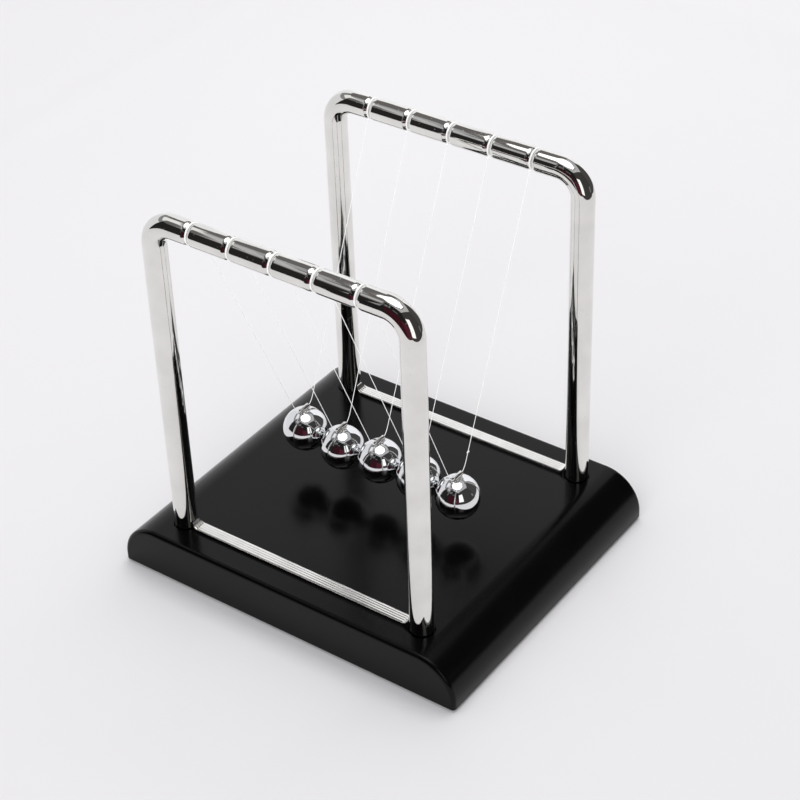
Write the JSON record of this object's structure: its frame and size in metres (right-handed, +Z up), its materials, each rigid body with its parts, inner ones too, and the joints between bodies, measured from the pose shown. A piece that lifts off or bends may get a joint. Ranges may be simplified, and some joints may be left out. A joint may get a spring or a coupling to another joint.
{
  "type": "newtons cradle",
  "caption": "Desk newton's cradle: chromed steel balls on V-shaped nylon lines between two plated U frames on a gloss black base with rounded ends.",
  "frame": {"origin": "middle of the base footprint, on the surface that the rubber feet stand on", "axes": "+X along the row of balls, +Y from the front frame to the rear frame, +Z up"},
  "size_m": [0.088, 0.075, 0.0913],
  "materials": {
    "base_plastic": "gloss black moulding with fine scuffs",
    "cover_plastic": "fine-textured black",
    "frame_chrome": "bright chrome plating, slightly wavy",
    "ball_steel": "mirror-polished chrome steel",
    "tube_steel": "drawn steel tube with a heat-tinted weld",
    "nylon_line": "clear nylon monofilament",
    "foot_rubber": "matt black rubber",
    "screw_zinc": "zinc plate"
  },
  "bodies": {
    "stand": {"base_shell": "base_plastic", "bottom_cover": "cover_plastic", "front_frame": "frame_chrome", "rear_frame": "frame_chrome", "frame_screw_1": "screw_zinc", "frame_screw_2": "screw_zinc", "frame_screw_3": "screw_zinc", "frame_screw_4": "screw_zinc", "cover_screw_1": "screw_zinc", "rubber_foot_1": "foot_rubber", "cover_screw_2": "screw_zinc", "rubber_foot_2": "foot_rubber", "cover_screw_3": "screw_zinc", "rubber_foot_3": "foot_rubber", "cover_screw_4": "screw_zinc", "rubber_foot_4": "foot_rubber", "front_loop_1": "nylon_line", "rear_loop_1": "nylon_line", "front_loop_2": "nylon_line", "rear_loop_2": "nylon_line", "front_loop_3": "nylon_line", "rear_loop_3": "nylon_line", "front_loop_4": "nylon_line", "rear_loop_4": "nylon_line", "front_loop_5": "nylon_line", "rear_loop_5": "nylon_line"},
    "ball_1_pendulum": {"ball_1": "ball_steel", "hanger_tube_1": "tube_steel", "line_1": "nylon_line"},
    "ball_2_pendulum": {"ball_2": "ball_steel", "hanger_tube_2": "tube_steel", "line_2": "nylon_line"},
    "ball_3_pendulum": {"ball_3": "ball_steel", "hanger_tube_3": "tube_steel", "line_3": "nylon_line"},
    "ball_4_pendulum": {"ball_4": "ball_steel", "hanger_tube_4": "tube_steel", "line_4": "nylon_line"},
    "ball_5_pendulum": {"ball_5": "ball_steel", "hanger_tube_5": "tube_steel", "line_5": "nylon_line"}
  },
  "joints": [
    {"name": "ball_1_swing", "type": "hinge", "parent": "stand", "child": "ball_1_pendulum", "pos_m": [-0.02085, 0, 0.08669], "axis": [0, -1, 0], "range_deg": [-60, 0]},
    {"name": "ball_2_swing", "type": "hinge", "parent": "stand", "child": "ball_2_pendulum", "pos_m": [-0.01065, 0, 0.08669], "axis": [0, -1, 0], "range_deg": [-58.8, 0]},
    {"name": "ball_3_swing", "type": "hinge", "parent": "stand", "child": "ball_3_pendulum", "pos_m": [-0.00045, 0, 0.08669], "axis": [0, -1, 0], "range_deg": [-59.4, 0]},
    {"name": "ball_4_swing", "type": "hinge", "parent": "stand", "child": "ball_4_pendulum", "pos_m": [0.00975, 0, 0.08669], "axis": [0, -1, 0], "range_deg": [-58.8, 0]},
    {"name": "ball_5_swing", "type": "hinge", "parent": "stand", "child": "ball_5_pendulum", "pos_m": [0.01995, 0, 0.08669], "axis": [0, -1, 0], "range_deg": [0, 60]}
  ],
  "couplings": [
    {"joint": "ball_2_swing", "follows": "ball_1_swing", "ratio": 0.98},
    {"joint": "ball_3_swing", "follows": "ball_1_swing", "ratio": 0.99},
    {"joint": "ball_4_swing", "follows": "ball_1_swing", "ratio": 0.98}
  ]
}
